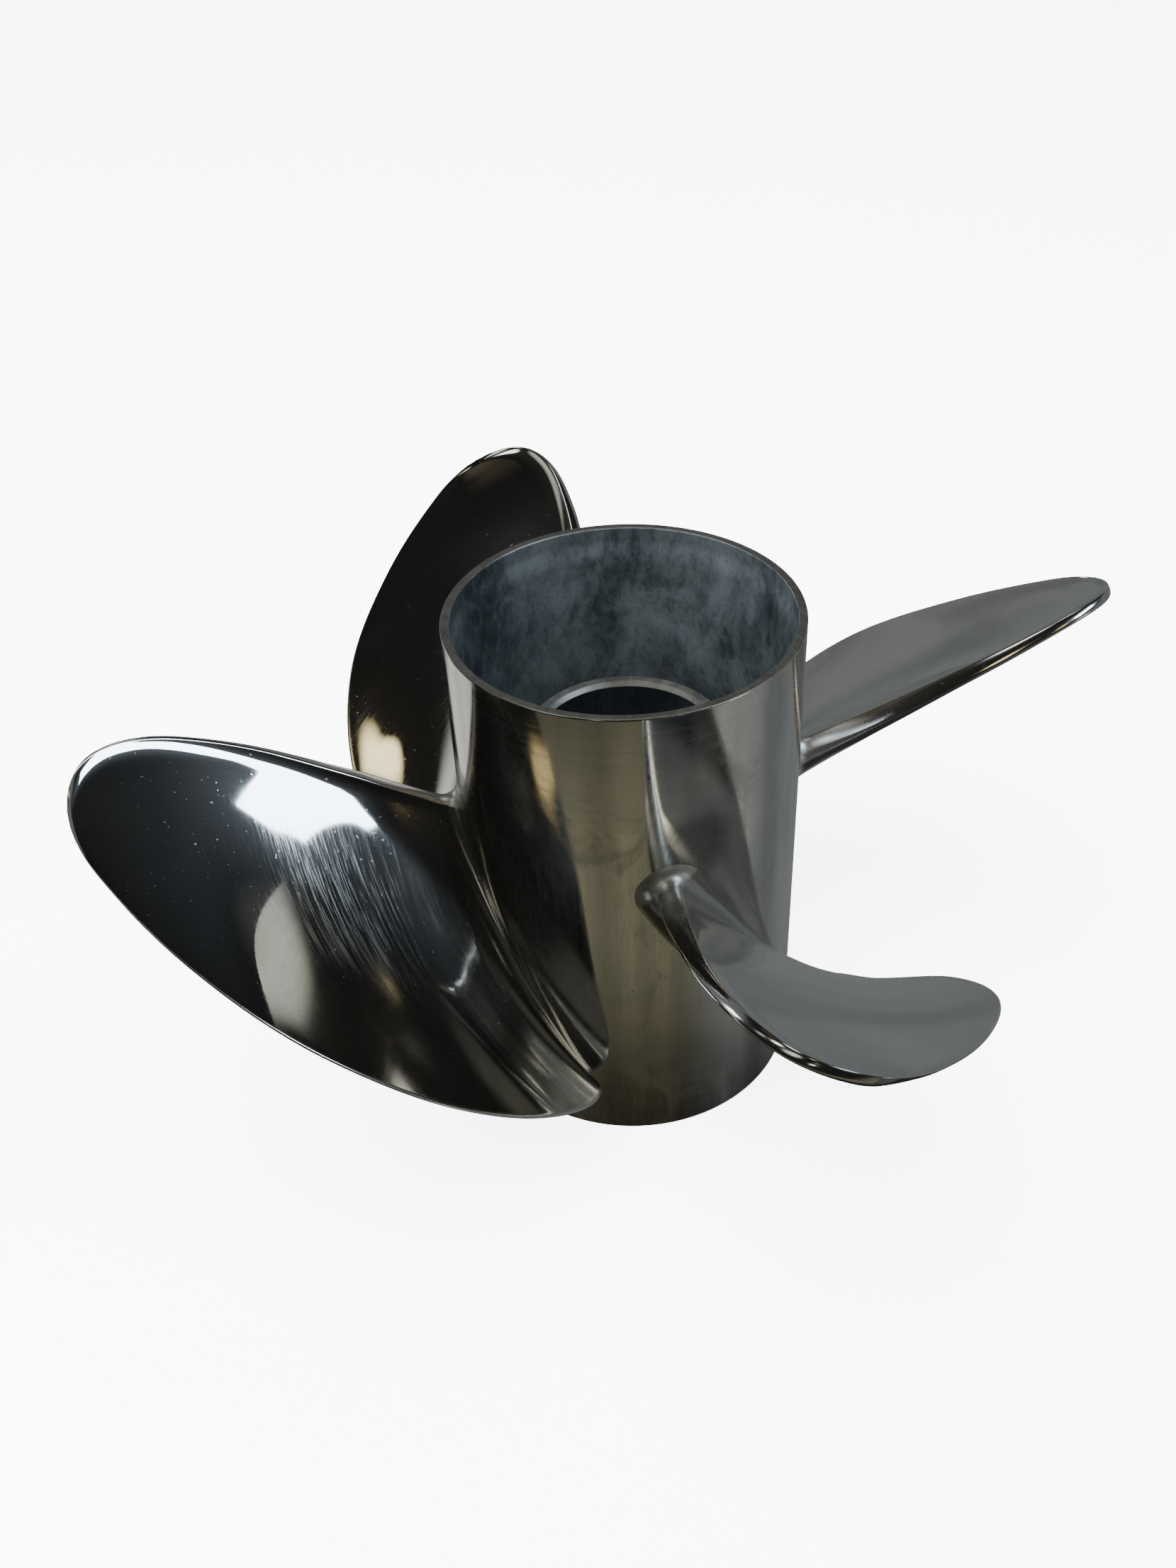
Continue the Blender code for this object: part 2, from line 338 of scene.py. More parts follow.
# %% [markdown]
# ### Cast inside
# The inside stays as it left the mould: matt, blue-grey and mottled, and darker low down with painted shade.
# Three sizes of noise are mixed, because one size alone looks like a pattern.

# %% The cast inside


def cast_finish(name, deep, pale, metallic):
    """As cast and blasted: cloudy blue-grey with a fine mottle, faint runs down the wall, painted shade low
    down.
    """
    material, tree, shader, place = new_finish(name, metallic)
    height = add_node(tree, "ShaderNodeSeparateXYZ", {"Vector": place}).outputs["Z"]
    mottle = grain(tree, stretched(tree, place, (1.0, 1.0, 0.60)), 0.0015, 6.0, 0.75, 0.6)
    runs = grain(tree, stretched(tree, place, (1.0, 1.0, 0.40)), 0.0045, 6.0, 0.72, 0.8)
    cloud = grain(tree, stretched(tree, place, (1.0, 1.0, 0.80)), 0.016, 5.0, 0.65, 0.6)
    sand = grain(tree, place, 0.0005, 3.0, 0.6)
    broad = times_plus(tree, cloud, 0.50, times(tree, runs, 0.25))
    mixed = times_plus(tree, mottle, 0.25, broad)
    colour = tint(tree, spread(tree, mixed, 0.38, 0.62), deep, pale)
    flecked = tint(tree, spread(tree, mottle, 0.52, 0.70, 0.0, 0.45), colour, deep)
    # Painted shade: the colour grows darker low down, deep in the tube.
    low_shade_painted = tint(tree, spread(tree, height, 0.075, 0.180, 0.70, 0.0), flecked, deep)
    pits = spread(tree, grain(tree, place, 0.0006, 1.0, 0.5), 0.72, 0.78, 0.0, 0.55)
    pitted = tint(tree, pits, low_shade_painted, tuple(0.45 * value for value in deep))
    roughness = spread(tree, mixed, 0.30, 0.70, 0.62, 0.40)
    normal = raised(tree, sand, 0.00004, raised(tree, mottle, 0.00010))
    finished(tree, shader, pitted, roughness, normal)
    return material


cast_inside = cast_finish("cast_inside_steel", (0.055, 0.069, 0.082), (0.265, 0.312, 0.345), 0.80)
hub_bore = cast_finish("hub_bore_steel", (0.03, 0.036, 0.045), (0.09, 0.105, 0.125), 0.90)
print("finishes:", cast_inside.name, hub_bore.name)

# %% [markdown]
# ### Blades
# The blades are mirror bright, with fine drag lines that show most in a rubbed zone at half span. The lines
# are noise stretched along the blade, with the help of marks that the mesh carries.

# %% The polished blades
BLADE_MARKS = ("chord_share", "root_blend", "trailing_land")
RUBBED_FROM = (0.088, 0.108)
RUBBED_TO = (0.140, 0.118)
CUP_SHARE = (0.70, 0.86)
NOSE_SHARE = (0.004, 0.030)
COAT_WEIGHT = 0.6
COAT_ROUGHNESS = 0.30


def polished_blade_finish():
    """Mirror polish with drag lines in a rubbed zone, haze, specks, painted shade at the root, and a coarser
    root and edges.
    """
    material, tree, shader, place = new_finish("polished_blade_steel")
    radius = away_from_shaft(tree, place)
    share, root, land = (add_node(tree, "ShaderNodeAttribute", attribute_name=mark).outputs["Fac"]
                         for mark in BLADE_MARKS)
    nose = spread(tree, share, *NOSE_SHARE, 1.0, 0.0)
    parts = add_node(tree, "ShaderNodeSeparateXYZ", {"Vector": place})
    along = add_node(tree, "ShaderNodeCombineXYZ", {
        "X": radius, "Y": times(tree, share, 0.0035),
        "Z": times(tree, parts.outputs["X"], 0.013)}).outputs[0]
    lines = grain(tree, along, 0.00025, 4.0, 0.65, 0.1)
    cloud = grain(tree, place, 0.028, 4.0, 0.6, 0.8)
    worn = spread(tree, cloud, 0.42, 0.64)
    below_cup = spread(tree, share, *CUP_SHARE, 1.0, 0.06)
    lasting = spread(tree, cloud, 0.30, 0.50, 0.45, 1.0)
    ring = times(tree, spread(tree, radius, *RUBBED_TO), spread(tree, radius, *RUBBED_FROM))
    rubbed = times(tree, ring, spread(tree, share, 0.30, 0.50))
    strength = times_plus(tree, rubbed, 0.75, 0.25)
    clear_lines = times(tree, spread(tree, lines, 0.46, 0.62), lasting)
    drag = times(tree, clear_lines, times(tree, below_cup, strength))
    long_marks = grain(tree, stretched(tree, place, (0.10, 1.0, 0.5)), 0.0006, 2.0, 0.5, 0.3)
    scratches = spread(tree, long_marks, 0.745, 0.77)
    specks = spread(tree, grain(tree, place, 0.0006, 1.0, 0.4), 0.740, 0.775)
    hazy = tint(tree, times(tree, worn, 0.55), STEEL, (0.45, 0.465, 0.50))
    lined = tint(tree, times(tree, drag, 0.25), hazy, (0.42, 0.425, 0.43))
    edged = tint(tree, times(tree, land, 0.25), lined, (0.70, 0.69, 0.66))
    # Painted shade: the colour is darker near the root, where the blade runs into the barrel.
    painted_root_shade = tint(tree, times(tree, root, 0.55), edged, (0.30, 0.298, 0.28))
    spotted = tint(tree, times(tree, specks, 0.5), painted_root_shade, (0.70, 0.69, 0.67))
    base_rough = spread(tree, cloud, 0.36, 0.66, 0.018, 0.042)
    soft = times_plus(tree, times(tree, rubbed, below_cup), 0.045, base_rough)
    with_drag = times_plus(tree, drag, 0.20, soft)
    with_scratches = times_plus(tree, scratches, 0.10, with_drag)
    close_in = spread(tree, radius, 0.096, 0.082)
    with_close = times_plus(tree, close_in, 0.07, with_scratches)
    with_root = times_plus(tree, root, 0.10, with_close)
    land_rough = spread(tree, radius, 0.080, 0.120, 0.26, 0.09)
    with_land = times_plus(tree, land, land_rough, with_root)
    with_nose = times_plus(tree, nose, 0.20, with_land)
    roughness = calculate(tree, "MULTIPLY_ADD", specks, 0.16, with_nose, clamp=True)
    hand_polish = raised(tree, grain(tree, place, 0.016, 1.5, 0.4), 0.00005)
    line_depth = times(tree, spread(tree, land, 0.0, 0.3, 1.0, 0.0), 0.0000008)
    fine = raised(tree, lines, line_depth, hand_polish)
    grind_depth = times(tree, times(tree, root, spread(tree, land, 0.0, 0.5, 1.0, 0.0)), 0.00003)
    coarse = raised(tree, grain(tree, place, 0.0045, 3.0, 0.5), grind_depth, fine)
    shader.inputs["Coat Weight"].default_value = COAT_WEIGHT
    shader.inputs["Coat Roughness"].default_value = COAT_ROUGHNESS
    finished(tree, shader, spotted, roughness, coarse)
    return material


polished_blade = polished_blade_finish()
print("finish:", polished_blade.name)

# %% [markdown]
# ## Turned pieces
# The barrel and the inner hub are round, and the real ones are finished on a lathe. A lathe follows a
# profile while the part turns, and so does this tree: it sweeps the profile round a circle. The profile is
# a closed line in radius and height, with its corners rounded off by short arcs.

# %% A profile with rounded corners
CORNER_STEPS = 6
SUPPORT = 0.0002
LONGEST_REACH = 0.45
LONGEST_SUPPORT = 0.2


def rounded_profile(corners):
    """Round each corner, given as (radius, height, rounding); a point beside each arc keeps its end crisp."""
    points = []
    count = len(corners)
    for i in range(count):
        before, here, after = (Vector(corners[(i + k) % count][:2]) for k in (-1, 0, 1))
        rounding = corners[i][2]
        back, on = (before - here), (after - here)
        room = min(back.length, on.length)
        back.normalize()
        on.normalize()
        half = back.angle(on) / 2
        reach = min(rounding / max(abs(sin(half) / cos(half)), 0.001), LONGEST_REACH * room)
        start, end = here + back * reach, here + on * reach
        support = min(SUPPORT, LONGEST_SUPPORT * room)
        points.append(start + back * support)
        for step in range(CORNER_STEPS + 1):
            t = step / CORNER_STEPS
            points.append((1 - t)**2 * start + 2 * t * (1 - t) * here + t**2 * end)
        points.append(end + on * support)
    return points


def profile_mesh(name, corners):
    """The rounded profile as a ring of edges: radius along X, and height along -Y, as the sweep wants it."""
    points = rounded_profile(corners)
    mesh = bpy.data.meshes.new(name)
    edges = [(i, (i + 1) % len(points)) for i in range(len(points))]
    mesh.from_pydata([(point.x, -point.y, 0.0) for point in points], edges, [])
    return mesh


# %% The lathe
RIM_FACING = 0.6


def lathe_tree():
    """Sweep a profile round the shaft, with one finish for the bore and one for faces that look up."""
    tree, start, end = new_shape_tree("lathe", (
        ("Turning radius", "Float", 0.05),
        ("Steps around", "Int", 256),
        ("Bore radius", "Float", 0.05),
        ("Outside finish", "Material", None),
        ("Bore finish", "Material", None),
        ("Rim finish", "Material", None),
    ))
    radius = start.outputs["Turning radius"]
    line = add_node(tree, "GeometryNodeMeshToCurve", {"Mesh": start.outputs["Geometry"]})
    place = add_node(tree, "ShaderNodeCombineXYZ", {"X": times(tree, radius, -1.0)})
    moved = add_node(tree, "GeometryNodeTransform", {"Geometry": line, "Translation": place})
    circle = add_node(tree, "GeometryNodeCurvePrimitiveCircle",
                      {"Resolution": start.outputs["Steps around"], "Radius": radius})
    swept = add_node(tree, "GeometryNodeCurveToMesh", {"Curve": circle, "Profile Curve": moved})
    smooth = add_node(tree, "GeometryNodeSetShadeSmooth", {"Geometry": swept})
    real = add_node(tree, "GeometryNodeRealizeInstances", {"Geometry": smooth})
    away = away_from_shaft(tree, add_node(tree, "GeometryNodeInputPosition").outputs[0])
    in_bore = add_node(tree, "FunctionNodeCompare",
                       {"A": away, "B": start.outputs["Bore radius"]}, operation="LESS_THAN")
    normal = add_node(tree, "GeometryNodeInputNormal")
    normal_parts = add_node(tree, "ShaderNodeSeparateXYZ", {"Vector": normal})
    looks_up = add_node(tree, "FunctionNodeCompare",
                        {"A": normal_parts.outputs["Z"], "B": RIM_FACING}, operation="GREATER_THAN")
    shown = real.outputs["Geometry"]
    for finish, where in (("Outside finish", None), ("Bore finish", in_bore), ("Rim finish", looks_up)):
        layer = add_node(tree, "GeometryNodeSetMaterial",
                         {"Geometry": shown, "Material": start.outputs[finish]})
        if where:
            tree.links.new(where.outputs["Result"], layer.inputs["Selection"])
        shown = layer.outputs["Geometry"]
    tree.links.new(shown, end.inputs["Geometry"])
    return tree


lathe = lathe_tree()
print("tree:", lathe.name, "with", len(lathe.nodes), "nodes")

# %% The barrel
BORE_MARGIN = 0.0004
TAPER_ROUNDING = 0.0150
WALL_ROUNDING = 0.0300
BARREL_PROFILE = (
    (BARREL_RADIUS, BARREL_HEIGHT, 0.0005),
    (BARREL_RADIUS, 0.0, 0.0008),
    (BARREL_RADIUS - RIM_WALL, 0.0, 0.0006),
    (BARREL_RADIUS - RIM_WALL, RIM_LAND_HEIGHT, TAPER_ROUNDING),
    (BARREL_RADIUS - CAST_WALL, 2 * RIM_LAND_HEIGHT, WALL_ROUNDING),
    (BARREL_RADIUS - CAST_WALL, BARREL_HEIGHT - 2 * RIM_LAND_HEIGHT, WALL_ROUNDING),
    (BARREL_RADIUS - RIM_WALL, BARREL_HEIGHT - RIM_LAND_HEIGHT, TAPER_ROUNDING),
    (BARREL_RADIUS - RIM_WALL, BARREL_HEIGHT, 0.0006),
)
barrel_shell = made_by_tree("barrel_shell", profile_mesh("barrel_profile", BARREL_PROFILE), lathe, {
    "Turning radius": BARREL_RADIUS, "Steps around": 512,
    "Bore radius": BARREL_RADIUS - RIM_WALL + BORE_MARGIN,
    "Outside finish": polished_barrel, "Bore finish": cast_inside, "Rim finish": turned_rim})
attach(barrel_shell, "root")
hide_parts("barrel")
print("barrel box", [tuple(round(v, 4) for v in barrel_shell.bound_box[i]) for i in (0, 6)])

# %% [markdown]
# The inner hub holds the drive sleeve on a real propeller. The same lathe turns it from its own profile.

# %% The inner hub
HUB_CHAMFER = 0.0016
HUB_FOOT_BORE = INNER_HUB_BORE - INNER_HUB_DRAFT
HUB_PROFILE = (
    (INNER_HUB_RADIUS, INNER_HUB_TOP, 0.0006),
    (INNER_HUB_RADIUS, INNER_HUB_FOOT, 0.0006),
    (HUB_FOOT_BORE + HUB_CHAMFER, INNER_HUB_FOOT, 0.0003),
    (HUB_FOOT_BORE, INNER_HUB_FOOT + HUB_CHAMFER, 0.0003),
    (INNER_HUB_BORE, INNER_HUB_TOP - HUB_CHAMFER, 0.0003),
    (INNER_HUB_BORE + HUB_CHAMFER, INNER_HUB_TOP, 0.0003),
)
hub_sleeve = made_by_tree("inner_hub_sleeve", profile_mesh("inner_hub_profile", HUB_PROFILE), lathe, {
    "Turning radius": INNER_HUB_RADIUS, "Steps around": 192, "Bore radius": INNER_HUB_BORE + 0.0002,
    "Outside finish": cast_inside, "Bore finish": hub_bore, "Rim finish": hub_ring})
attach(hub_sleeve, "root")
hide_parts("inner_hub")

# %% [markdown]
# ## Webs
# Cast ribs usually hold the inner hub inside the barrel, and the exhaust leaves between them. The photograph
# hides them, so their number and size are guessed. Each one flares into both walls, as poured metal does.
# Only one is modelled: a tree sets copies of it round the shaft.

# %% The ring of copies


def spaced_round_tree():
    """Copies of a mesh, evenly round the shaft, made real and given one finish."""
    tree, start, end = new_shape_tree("spaced_round", (
        ("Count", "Int", 4),
        ("Finish", "Material", None),
    ))
    count = start.outputs["Count"]
    points = add_node(tree, "GeometryNodeMeshLine", {"Count": count, "Offset": (0.0, 0.0, 0.0)})
    index = add_node(tree, "GeometryNodeInputIndex")
    angle = times(tree, index.outputs[0], calculate(tree, "DIVIDE", 2 * pi, count))
    rotation = add_node(tree, "ShaderNodeCombineXYZ", {"Z": angle})
    copies = add_node(tree, "GeometryNodeInstanceOnPoints", {
        "Points": points, "Instance": start.outputs["Geometry"], "Rotation": rotation})
    real = add_node(tree, "GeometryNodeRealizeInstances", {"Geometry": copies})
    finish = add_node(tree, "GeometryNodeSetMaterial", {
        "Geometry": real, "Material": start.outputs["Finish"]})
    tree.links.new(finish.outputs["Geometry"], end.inputs["Geometry"])
    return tree


spaced_round = spaced_round_tree()
print("tree:", spaced_round.name, "with", len(spaced_round.nodes), "nodes")

# %% One web
WEB_FLARE = 0.0050
WEB_FULLNESS = 0.9
WEB_EDGE_RADIUS = 0.0024
WEB_ROWS = 12
WEB_ARC_STEPS = 5
EMBED = 0.0002


def flare(distance, reach):
    """How far a fillet of this reach still stands out at a distance from the wall it runs into."""
    near = min(max(distance, 0.0), reach)
    return reach - sqrt(reach**2 - (reach - near)**2)


def web_mesh(name):
    """A rib along +X: rounded rectangles at growing radius, each bent on its cylinder."""
    inner, outer = INNER_HUB_RADIUS, BARREL_RADIUS - CAST_WALL
    shares = [0.5 - 0.5 * cos(pi * i / (2 * WEB_ROWS)) for i in range(2 * WEB_ROWS + 1)]
    radii = [inner - EMBED] + [inner + (outer - inner) * share for share in shares] + [outer + EMBED]
    vertices, faces, count = [], [], 4 * (WEB_ARC_STEPS + 1)
    for radius in radii:
        extra = WEB_FULLNESS * (flare(radius - inner, WEB_FLARE) + flare(outer - radius, WEB_FLARE))
        half_wide = WEB_THICKNESS / 2 + extra
        half_tall = (WEB_TOP - WEB_BOTTOM) / 2 + extra
        for corner in range(4):
            side_y, side_z = ((1, 1), (-1, 1), (-1, -1), (1, -1))[corner]
            for step in range(WEB_ARC_STEPS + 1):
                turn = pi / 2 * (corner + step / WEB_ARC_STEPS)
                y = side_y * (half_wide - WEB_EDGE_RADIUS) + WEB_EDGE_RADIUS * cos(turn)
                z = side_z * (half_tall - WEB_EDGE_RADIUS) + WEB_EDGE_RADIUS * sin(turn)
                vertices.append((sqrt(radius**2 - y**2), y, (WEB_TOP + WEB_BOTTOM) / 2 + z))
    for row in range(len(radii) - 1):
        for i in range(count):
            j = (i + 1) % count
            faces.append((row * count + i, row * count + j, (row + 1) * count + j, (row + 1) * count + i))
    faces.append(tuple(reversed(range(count))))
    faces.append(tuple(range((len(radii) - 1) * count, len(radii) * count)))
    mesh = bpy.data.meshes.new(name)
    mesh.from_pydata(vertices, [], faces)
    mesh.transform(Matrix.Rotation(WEB_PHASE, 4, "Z"))
    turn_outward(mesh)
    return mesh


webs = made_by_tree("cast_webs", web_mesh("one_web"), spaced_round, {"Count": BLADES, "Finish": cast_inside})
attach(webs, "root")
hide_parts(*[f"web_{number}" for number in range(1, BLADES + 1)])

# %% [markdown]
# ## Blades
# A blade face is part of a screw surface. Each section, cut by a cylinder round the shaft and rolled out
# flat, is a thin wedge: thin leading edge, blunt trailing edge, curled up by the cup. A table gives the
# sections by radius. There is no drawing of this propeller: most rows were read, rounded, from a fit that
# a program made to the blade outlines in the photograph. The CAD source has the same table.

# %% Blade offset table
BLADE_STATIONS = (
    # radius, middle angle, middle height, half the angle it covers, pitch
    (BARREL_RADIUS, -46.6, 0.0785, 29.6, 0.615),
    (0.0700, -43.8, 0.0815, 33.4, 0.540),
    (0.0810, -44.6, 0.0855, 34.0, 0.545),
    (0.1000, -48.9, 0.0960, 31.5, 0.573),
    (0.1305, -54.3, 0.1180, 27.1, 0.556),
    (0.1555, -60.0, 0.1380, 20.7, 0.546),
    (0.1740, -65.5, 0.1528, 13.6, 0.571),
    (0.1870, -68.9, 0.1622, 7.7, 0.589),
    (0.1934, -69.8, 0.1656, 3.6, 0.598),
    (DIAMETER / 2, -69.9, 0.1662, 0.0, 0.602),
)
TIP_LAND = 0.00012
TIP_TRIM = 0.00048
RADIAL_SECTIONS = 84
CHORD_SECTIONS = 56
LEADING_THICKNESS = 0.0015
TRAILING_THICKNESS = (0.0105, 0.0042)  # root, tip
TRAILING_CORNER = 0.0013
ROOT_CORNER = 0.0044
ROOT_ROUNDING = 0.0300
LAND_TILT = radians(28)
LAND_CROWN = radians(12)
CORNER_TURNS = 12
END_STEPS = 6
THICKNESS_FALL = 1.6
BULGE = (0.0050, 0.0006)
FULL_BULGE_CHORD = 0.0800
CUP_DEPTH = 0.0018
CUP_LENGTH = 0.0095
CUP_FADE = 0.0300
FILLET_SECTIONS = 30
FILLET_CROWDING = 2.5
FILLET_SOFTNESS = 2.2
FILLET_FULLNESS = 0.95
ROOT_DEPTH = 0.000006
ROOT_FILLET = (
    # place along the chord, reach on the face, reach on the back
    (0.00, 0.0035, 0.0035),
    (0.30, 0.0060, 0.0060),
    (0.60, 0.0070, 0.0065),
    (0.85, 0.0080, 0.0070),
    (1.00, 0.0085, 0.0070),
)
CAP_STRIPS = 6
ROOT_GRIND_AND_SHADE = 0.0160
print("blade stations:", len(BLADE_STATIONS))


def span_of(radius):
    """0 at the tip and 1 at the barrel; the square root gives the outline its round tip."""
    return sqrt(max(DIAMETER / 2 - radius, 0.0) / (DIAMETER / 2 - BARREL_RADIUS))


def station_value(radius, column):
    """One column of the offset table at any radius, along a smooth curve through its stations."""
    knots = [span_of(row[0]) for row in reversed(BLADE_STATIONS)]
    values = [row[column] for row in reversed(BLADE_STATIONS)]
    slopes = []
    for i in range(len(knots)):
        before, after = max(i - 1, 0), min(i + 1, len(knots) - 1)
        slopes.append((values[after] - values[before]) / (knots[after] - knots[before]))
    here = span_of(radius)
    i = max(k for k in range(len(knots) - 1) if knots[k] <= here or k == 0)
    width = knots[i + 1] - knots[i]
    t = (here - knots[i]) / width
    return ((2 * t**3 - 3 * t**2 + 1) * values[i] + (t**3 - 2 * t**2 + t) * width * slopes[i]
            + (3 * t**2 - 2 * t**3) * values[i + 1] + (t**3 - t**2) * width * slopes[i + 1])


def between(pair, radius):
    """A thickness that falls from its root value to its tip value, fastest near the root."""
    share = max(DIAMETER / 2 - radius, 0.0) / (DIAMETER / 2 - BARREL_RADIUS)
    return pair[1] + (pair[0] - pair[1]) * share**THICKNESS_FALL


# %% [markdown]
# One section is a closed line: along the face, round the blunt trailing end, and back along the back. The
# trailing end catches most of the light, so its corners are true arcs that run smoothly into both sides.

# %% One rolled-out section
ARC_ROUNDS = 3
ARC_STEPS = 6


def face_line(run, chord, radius):
    """Depth of the pressure face below the straight chord, and its slope, where the cup curls it up."""
    cup = min(CUP_LENGTH, 0.4 * chord)
    fade = min(max((radius - BARREL_RADIUS) / CUP_FADE, 0.0), 1.0)
    depth = CUP_DEPTH * cup / CUP_LENGTH * fade**2 * (3 - 2 * fade)
    start = chord - cup
    share = (start - run) / start if run < start else (run - start) / cup
    slope = 2 * depth * share / start if run < start else -2 * depth * share / cup
    return depth * (1 - share**2), slope


def thickness_line(run, chord, leading, trailing, bulge):
    """Thickness at a place on the chord, and how fast it changes."""
    share = run / chord
    thick = leading + (trailing - leading) * share + bulge * 4 * share * (1 - share)
    return thick, ((trailing - leading) + bulge * 4 * (1 - 2 * share)) / chord


def trailing_land(chord, full, radius, trailing_line):
    """The blunt end from face to back: two corner arcs with a crowned, leaning land between them."""
    outward = min(max((radius - BARREL_RADIUS) / ROOT_ROUNDING, 0.0), 1.0)
    outward = outward**2 * (3 - 2 * outward)
    corner = min(ROOT_CORNER + (TRAILING_CORNER - ROOT_CORNER) * outward, 0.42 * full)
    tilt = LAND_TILT * outward
    low_turn, high_turn = -tilt - LAND_CROWN, -tilt + LAND_CROWN
    square = (cos(tilt), -sin(tilt))

    def back_line(run):
        depth, slope = face_line(run, chord, radius)
        thick, change = trailing_line(run)
        return depth + thick, slope + change

    offset = chord * square[0] + back_line(chord)[0] * square[1]
    for _ in range(ARC_ROUNDS):
        runs, middles = [], []
        for line, inward in ((lambda run: face_line(run, chord, radius), 1), (back_line, -1)):
            run = chord - corner
            for _ in range(ARC_STEPS):
                depth, slope = line(run)
                angle = atan(slope)
                middle = (run - inward * corner * sin(angle), depth + inward * corner * cos(angle))
                run -= (middle[0] * square[0] + middle[1] * square[1] + corner - offset) / square[0]
            runs.append(run)
            middles.append((middle, angle))
        (low, face_angle), (high, back_angle) = middles
        land = []
        for step in range(CORNER_TURNS + 1):
            share = step / CORNER_TURNS
            turn = (face_angle - pi / 2) * (1 - share) + low_turn * share
            land.append((low[0] + corner * cos(turn), low[1] + corner * sin(turn), 0.3 * share))
        first = land[-1]
        last = (high[0] + corner * cos(high_turn), high[1] + corner * sin(high_turn))
        crown = hypot(last[0] - first[0], last[1] - first[1]) / (2 * sin(LAND_CROWN))
        hub = [(first[k] + last[k]) / 2 - square[k] * crown * cos(LAND_CROWN) for k in (0, 1)]
        for step in range(1, END_STEPS):
            share = step / END_STEPS
            turn = low_turn + (high_turn - low_turn) * share
            land.append((hub[0] + crown * cos(turn), hub[1] + crown * sin(turn), 0.3 + 0.4 * share))
        for step in range(CORNER_TURNS + 1):
            share = step / CORNER_TURNS
            turn = high_turn * (1 - share) + (back_angle + pi / 2) * share
            land.append((high[0] + corner * cos(turn), high[1] + corner * sin(turn), 0.7 + 0.3 * share))
        offset -= max(point[0] for point in land) - chord
    return land, runs[0], runs[1]


def section_outline(radius):
    """The closed section at one radius, rolled out flat as (distance around, height, share, side)."""
    middle_angle = radians(station_value(radius, 1))
    middle_height = station_value(radius, 2)
    half_angle = radians(station_value(radius, 3))
    advance = station_value(radius, 4) / (2 * pi)
    chord = 2 * half_angle * hypot(radius, advance)
    slope = atan2(advance, radius)
    trailing = min(between(TRAILING_THICKNESS, radius), 0.5 * chord)
    leading = min(LEADING_THICKNESS, 0.4 * chord)
    bulge = between(BULGE, radius) * min(1.0, chord / FULL_BULGE_CHORD)

    def trailing_line(run):
        return thickness_line(run, chord, leading, trailing, bulge)

    land, face_run, back_run = trailing_land(chord, trailing, radius, trailing_line)
    face, back = [], []
    for i in range(CHORD_SECTIONS):
        place = 0.5 - 0.5 * cos(pi * i / CHORD_SECTIONS)
        for side, end in ((face, face_run), (back, back_run)):
            run = place * end
            nose = min(run / leading, 1.0)
            thick = trailing_line(run)[0]
            closed = thick * sqrt(1 - (1 - nose)**2)
            middle = face_line(run, chord, radius)[0] + 0.5 * thick
            sign = -0.5 if side is face else 0.5
            side.append((run, middle + sign * closed, 0.0 if side is face else 1.0))
    loop = face + land + back[:0:-1]
    return [(radius * middle_angle - (run - chord / 2) * cos(slope) - depth * sin(slope),
             middle_height + (run - chord / 2) * sin(slope) - depth * cos(slope),
             min(run / chord, 1.0), side) for run, depth, side in loop]


# %% [markdown]
# Where a blade meets the barrel, the casting flows from one into the other. The fillet pushes each section
# outward in its own plane, most at the barrel, so no extra surface has to be joined on.

# %% The root fillet


def fillet_reach(share, side):
    """How far the root fillet reaches at a place on the section, from its table."""
    row = max(k for k in range(len(ROOT_FILLET) - 1) if ROOT_FILLET[k][0] <= share or k == 0)
    low, high = ROOT_FILLET[row], ROOT_FILLET[row + 1]
    t = min((share - low[0]) / (high[0] - low[0]), 1.0)
    t = t * t * (3 - 2 * t)
    face = low[1] + (high[1] - low[1]) * t
    back = low[2] + (high[2] - low[2]) * t
    return face + (back - face) * side * side * (3 - 2 * side)


def fillet_offset(radius, share, side):
    """How far the root fillet stands off the blade's own surface; it leaves the barrel softly."""
    reach = fillet_reach(share, side)
    left = 1 - min(max(radius - BARREL_RADIUS, 0.0), reach) / reach
    return FILLET_FULLNESS * reach * (1 - (1 - left**FILLET_SOFTNESS)**(1 / FILLET_SOFTNESS))


def grown(loop, radius):
    """The closed section pushed outward in its own plane by the fillet at this radius."""
    result = []
    for i in range(len(loop)):
        before, here, after = loop[i - 1], loop[i], loop[(i + 1) % len(loop)]
        step = (after[0] - before[0], after[1] - before[1])
        size = hypot(*step)
        distance = fillet_offset(radius, here[2], here[3])
        result.append((here[0] + distance * step[1] / size, here[1] - distance * step[0] / size) + here[2:])
    return result


def section_radii():
    """Radii of all sections, close together in the fillet and towards the tip."""
    root = BARREL_RADIUS - ROOT_DEPTH
    flare_end = BARREL_RADIUS + max(max(row[1:]) for row in ROOT_FILLET)
    tip = DIAMETER / 2 - TIP_LAND
    crowded = [(i / FILLET_SECTIONS)**FILLET_CROWDING for i in range(FILLET_SECTIONS)]
    radii = [root + (flare_end - root) * share for share in crowded]
    for i in range(RADIAL_SECTIONS):
        share = i / (RADIAL_SECTIONS - 1)
        radii.append(flare_end + (tip - flare_end) * sin(share * pi / 2))
    return radii


print("sections along a blade:", len(section_radii()))

# %% [markdown]
# The sections are bent back on their cylinders and joined ring to ring. Marks on each point let the finish
# follow the shape. Then the one blade is copied.

# %% The lofted blade


def wrapped(around, height, radius):
    """A point of the section, back on its cylinder; the tip is trimmed to the CAD model's facets."""
    drawn = radius - TIP_TRIM * ((radius - BARREL_RADIUS) / (DIAMETER / 2 - BARREL_RADIUS))**2
    return (drawn * cos(around / radius), drawn * sin(around / radius), height)


